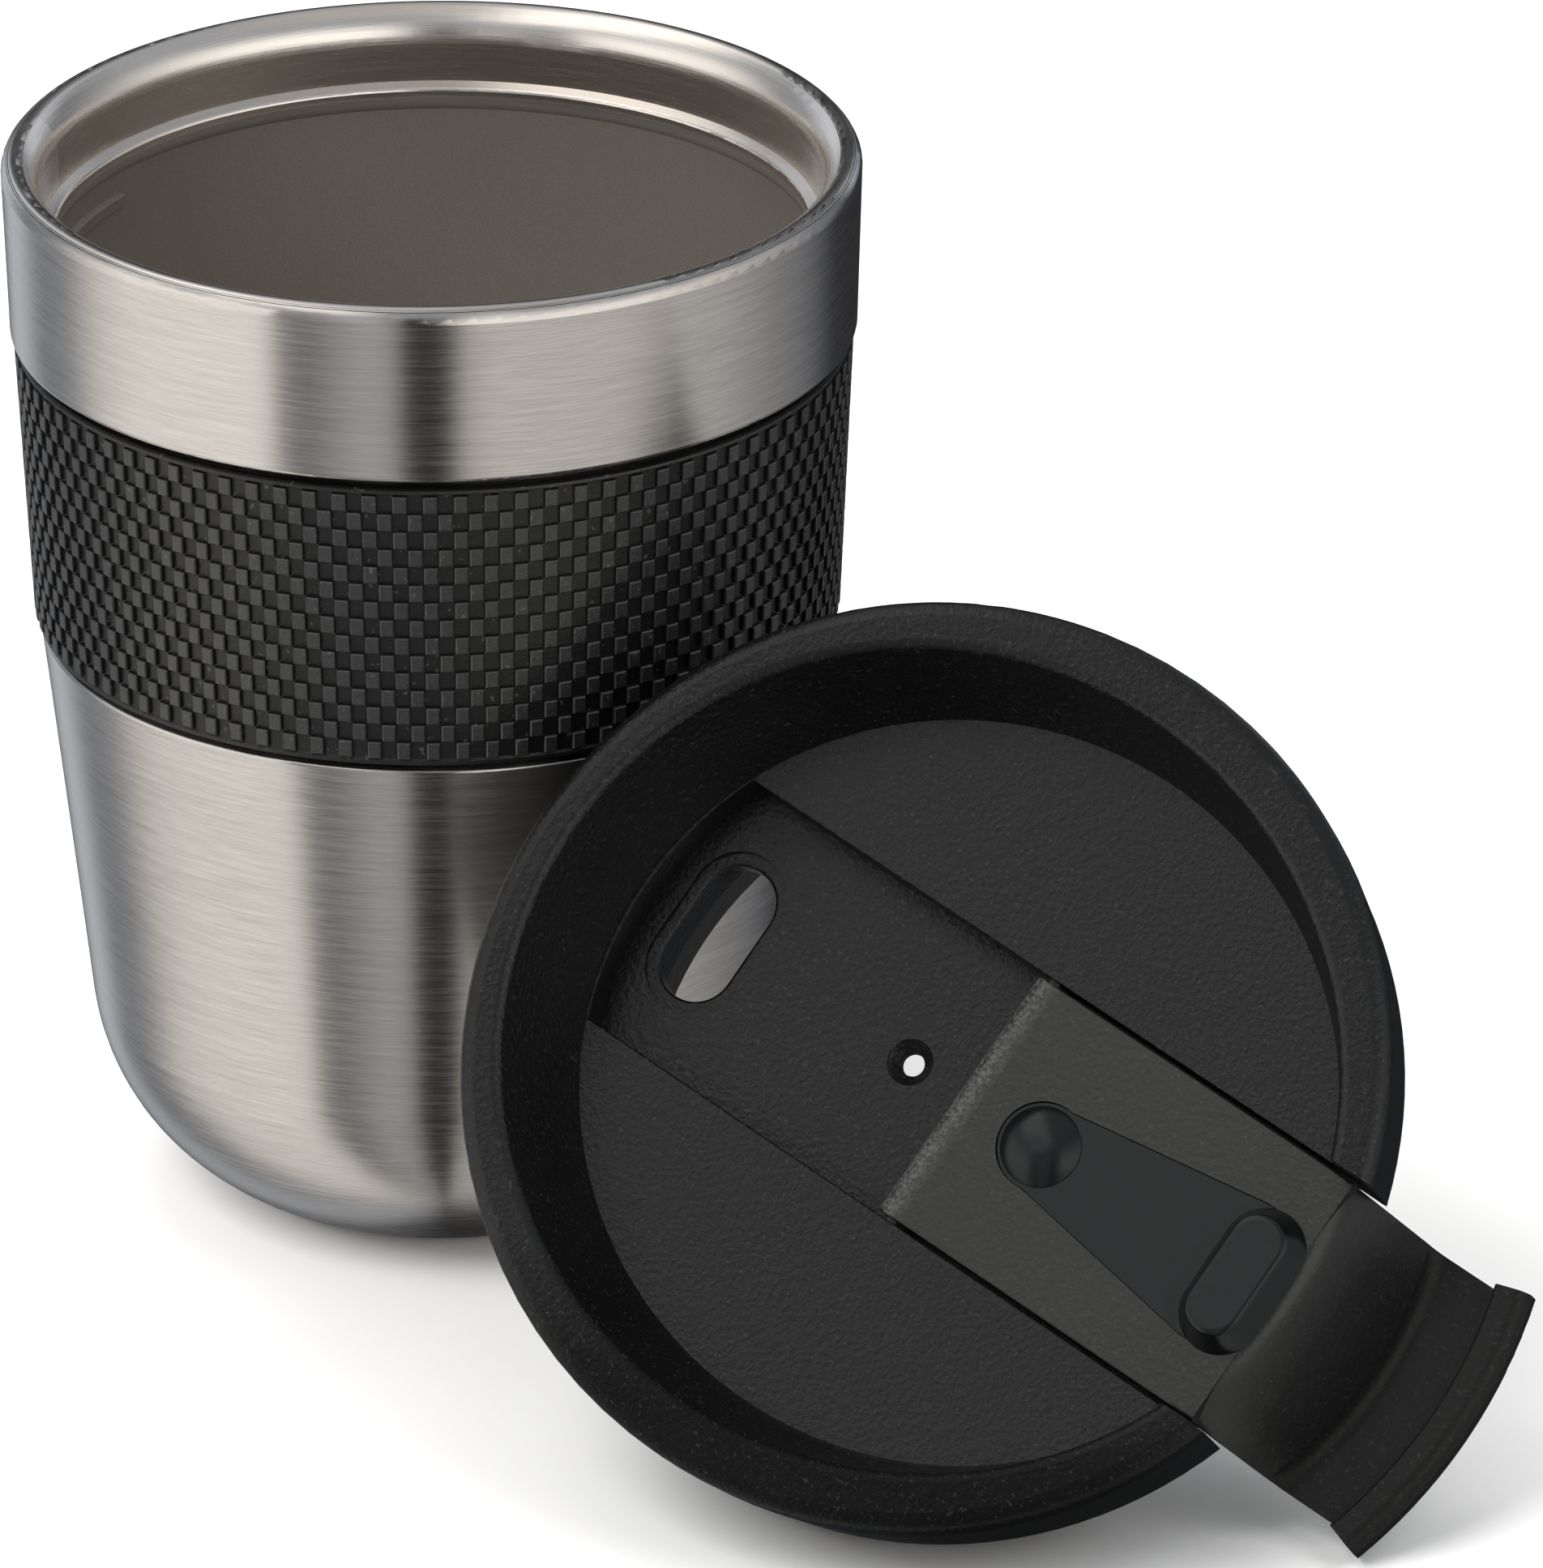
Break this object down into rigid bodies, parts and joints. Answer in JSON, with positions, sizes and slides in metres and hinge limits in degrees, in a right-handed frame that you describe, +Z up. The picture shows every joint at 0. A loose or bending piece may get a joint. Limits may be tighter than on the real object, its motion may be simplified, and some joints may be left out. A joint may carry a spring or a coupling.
{
  "type": "insulated travel mug",
  "caption": "Double-walled steel travel mug with a textured grip sleeve, and its black press-in lid with a flip-over drink flap, taken off and leaning on the mug.",
  "frame": {"origin": "centre of the foot, on the surface the mug stands on", "axes": "+Z up through the mouth of the mug; +X to the side the lid stands on; -Y towards the viewer, where the lid leans"},
  "size_m": [0.1474, 0.1389, 0.1092],
  "materials": {
    "brushed_shell": "brushed round the body",
    "blasted_lining": "fine blasted matte",
    "weld_steel": "satin",
    "sleeve_silicone": "matte",
    "foot_silicone": "matte",
    "lid_plastic": "fine grain",
    "flap_plastic": "satin",
    "seal_silicone": "smooth",
    "pin_steel": "blackened",
    "foil": "bright foil",
    "getter_metal": "sintered",
    "seal_glass": "fused bead"
  },
  "bodies": {
    "mug": {"outer_shell": "brushed_shell", "inner_vessel": "blasted_lining", "rim_weld": "weld_steel", "grip_sleeve": "sleeve_silicone", "base_plate": "brushed_shell", "base_weld": "weld_steel", "vacuum_seal": "seal_glass", "foot_pad": "foot_silicone", "heat_shield": "foil", "getter": "getter_metal", "getter_clip": "weld_steel"},
    "lid": {"lid_shell": "lid_plastic", "lid_plug": "lid_plastic", "lid_gasket": "seal_silicone", "plug_oring": "seal_silicone", "hinge_pin": "pin_steel"},
    "flap": {"flap": "flap_plastic", "flap_seal": "seal_silicone"}
  },
  "joints": [
    {"name": "lid_lift", "type": "slide", "parent": "mug", "child": "lid", "axis": [-0.2526, -0.7484, 0.6133], "range_m": [0, 0.08]},
    {"name": "flap_hinge", "type": "hinge", "parent": "lid", "child": "flap", "pos_m": [0.05228, -0.06466, 0.03753], "axis": [-0.5689, -0.3978, -0.7197], "range_deg": [0, 180]}
  ]
}
